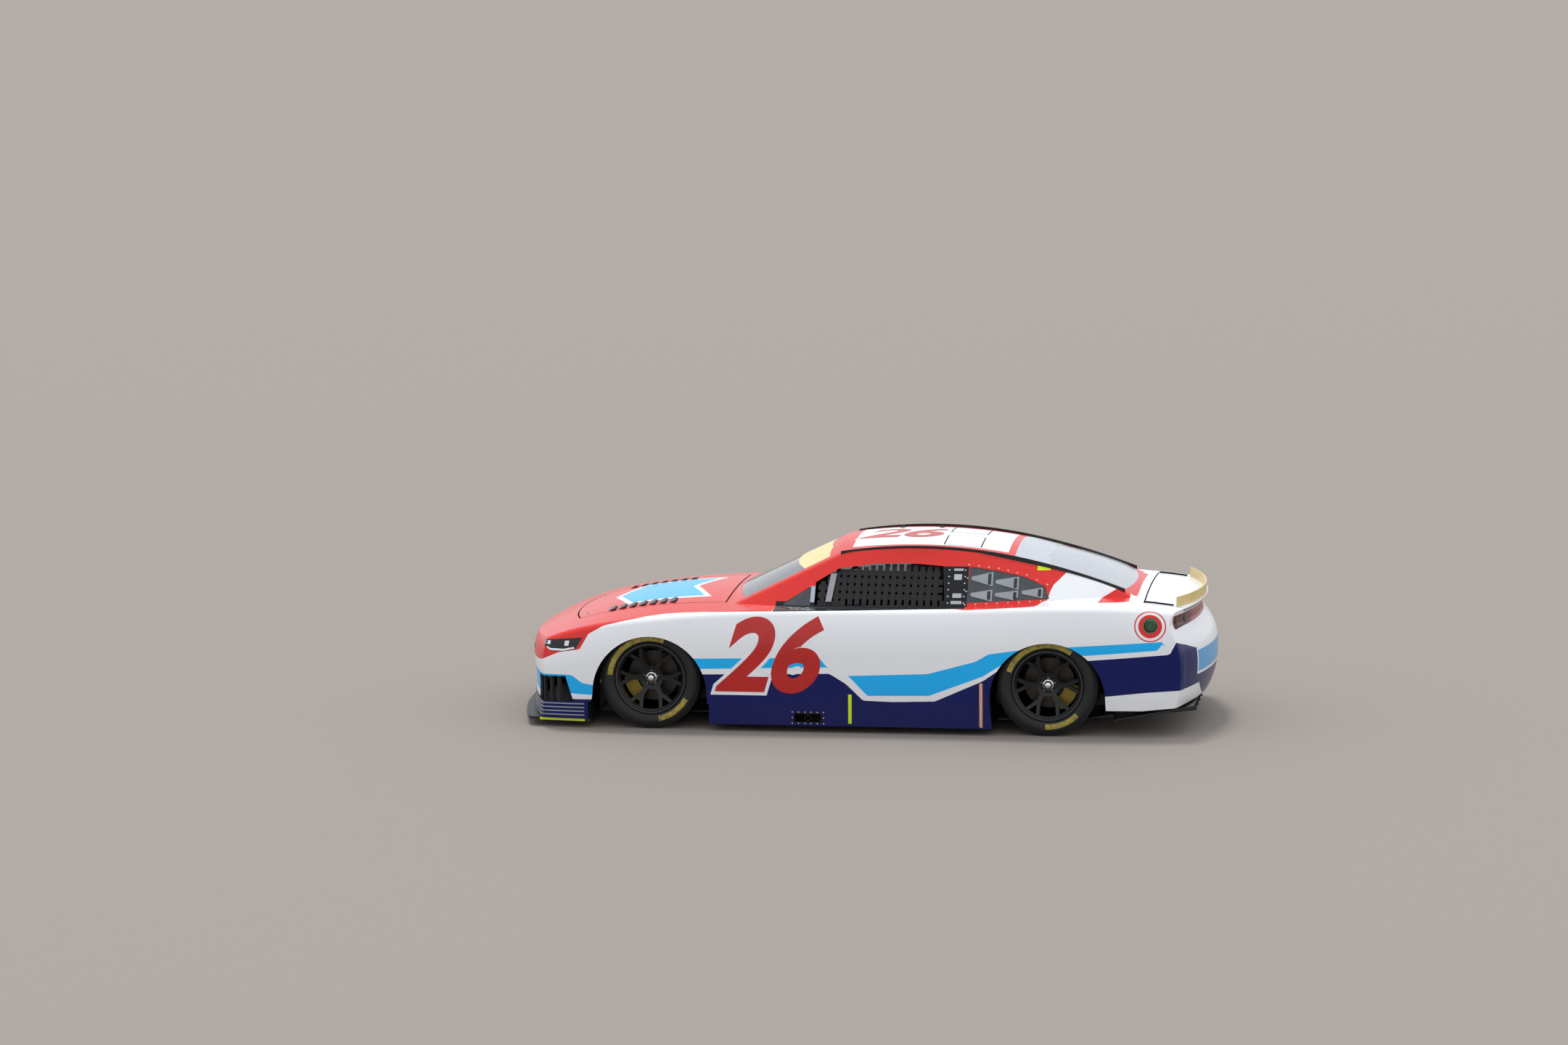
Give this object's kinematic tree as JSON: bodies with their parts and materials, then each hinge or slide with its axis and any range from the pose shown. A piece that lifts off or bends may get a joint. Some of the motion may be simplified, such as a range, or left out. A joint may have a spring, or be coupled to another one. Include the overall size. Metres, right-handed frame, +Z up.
{
  "type": "stock car",
  "caption": "Closed-wheel oval racing stock car with composite body, opening hood and deck lid, roof flaps, steered front wheels, roll cage and spoiler.",
  "frame": {"origin": "on the ground, under the middle of the car's overall length and width", "axes": "+X towards the nose, +Y to the driver's left, +Z up"},
  "size_m": [4.9048, 1.9933, 1.2811],
  "materials": {
    "white_paint": "gloss white body paint",
    "red_paint": "gloss red body paint",
    "black_plastic": "matte black composite",
    "black_steel": "satin black painted steel tube and plate",
    "grey_steel": "light grey powder-coated steel tube and plate",
    "grey_composite": "dark grey composite sheet",
    "window": "clear polycarbonate, slightly tinted",
    "lamp_black": "gloss black lamp cover",
    "lamp_red": "dark red lamp cover",
    "yellow_paint": "tan-yellow painted aluminium",
    "tyre": "slick tyre",
    "wheel_black": "satin black painted alloy",
    "hub_steel": "turned steel",
    "caliper": "anodised upright and caliper",
    "cast_metal": "cast alloy",
    "webbing": "black woven webbing",
    "seat_pad": "black covered foam on a composite shell",
    "grip": "black grip"
  },
  "bodies": {
    "chassis": {"front_fascia": "white_paint", "headlamps": "lamp_black", "grille": "black_plastic", "splitter": "black_plastic", "fender_left": "white_paint", "fender_right": "white_paint", "door_left": "white_paint", "door_right": "white_paint", "quarter_left": "white_paint", "quarter_right": "white_paint", "rockers": "grey_composite", "exhausts": "hub_steel", "fuel_port": "cast_metal", "rear_fascia": "white_paint", "tail_lamps": "lamp_red", "greenhouse": "red_paint", "windshield": "window", "rear_window": "window", "side_windows": "window", "window_net": "webbing", "roof_rails": "black_plastic", "floor_pan": "grey_composite", "diffuser": "grey_composite", "firewall": "grey_composite", "rear_bulkhead": "grey_composite", "wheel_liners": "grey_composite", "front_clip": "grey_steel", "rear_clip": "grey_steel", "engine": "cast_metal", "radiator": "cast_metal", "transaxle": "cast_metal", "fuel_cell": "black_plastic", "main_hoop": "grey_steel", "cage_front": "grey_steel", "dashboard": "black_plastic", "seat": "seat_pad", "front_suspension": "black_steel", "rear_suspension": "black_steel", "upright_rl": "caliper", "upright_rr": "caliper"},
    "hood": {"hood": "red_paint"},
    "deck_lid": {"deck_lid": "white_paint", "spoiler": "yellow_paint"},
    "roof_flap_left": {"roof_flap_left": "red_paint"},
    "roof_flap_right": {"roof_flap_right": "red_paint"},
    "steering_wheel": {"steering_wheel": "grip"},
    "wheel_fl": {"tyre_fl": "tyre", "rim_fl": "wheel_black", "hub_fl": "hub_steel"},
    "upright_fl": {"upright_fl": "caliper"},
    "wheel_fr": {"tyre_fr": "tyre", "rim_fr": "wheel_black", "hub_fr": "hub_steel"},
    "upright_fr": {"upright_fr": "caliper"},
    "wheel_rl": {"tyre_rl": "tyre", "rim_rl": "wheel_black", "hub_rl": "hub_steel"},
    "wheel_rr": {"tyre_rr": "tyre", "rim_rr": "wheel_black", "hub_rr": "hub_steel"}
  },
  "joints": [
    {"name": "hood_hinge", "type": "hinge", "parent": "chassis", "child": "hood", "pos_m": [1.098, 0, 0.85239], "axis": [0, -1, 0], "range_deg": [0, 45]},
    {"name": "deck_lid_hinge", "type": "hinge", "parent": "chassis", "child": "deck_lid", "pos_m": [-2.12, 0, 0.90012], "axis": [0, 1, 0], "range_deg": [0, 45]},
    {"name": "roof_flap_left_hinge", "type": "hinge", "parent": "chassis", "child": "roof_flap_left", "pos_m": [-0.575, 0.07, 1.27233], "axis": [0, 0.9987, -0.0506], "range_deg": [0, 60]},
    {"name": "roof_flap_right_hinge", "type": "hinge", "parent": "chassis", "child": "roof_flap_right", "pos_m": [-0.575, -0.07, 1.27233], "axis": [0, 0.9987, 0.0506], "range_deg": [0, 60]},
    {"name": "steer_fl", "type": "hinge", "parent": "chassis", "child": "upright_fl", "pos_m": [1.46, 0.708, 0.356], "axis": [0, 0, 1], "range_deg": [-14, 14]},
    {"name": "spin_fl", "type": "hinge", "parent": "upright_fl", "child": "wheel_fl", "pos_m": [1.46, 0.778, 0.356], "axis": [0, 1, 0], "continuous": true},
    {"name": "steer_fr", "type": "hinge", "parent": "chassis", "child": "upright_fr", "pos_m": [1.46, -0.708, 0.356], "axis": [0, 0, 1], "range_deg": [-14, 14]},
    {"name": "spin_fr", "type": "hinge", "parent": "upright_fr", "child": "wheel_fr", "pos_m": [1.46, -0.778, 0.356], "axis": [0, 1, 0], "continuous": true},
    {"name": "spin_rl", "type": "hinge", "parent": "chassis", "child": "wheel_rl", "pos_m": [-1.334, 0.793, 0.356], "axis": [0, 1, 0], "continuous": true},
    {"name": "spin_rr", "type": "hinge", "parent": "chassis", "child": "wheel_rr", "pos_m": [-1.334, -0.793, 0.356], "axis": [0, 1, 0], "continuous": true},
    {"name": "steering_wheel_turn", "type": "hinge", "parent": "chassis", "child": "steering_wheel", "pos_m": [0.215, 0.33, 0.8], "axis": [-0.9272, 0, 0.3746], "range_deg": [-168.5, 168.5]}
  ],
  "couplings": [
    {"joint": "steer_fr", "follows": "steer_fl", "ratio": 1},
    {"joint": "steering_wheel_turn", "follows": "steer_fl", "ratio": 12}
  ]
}
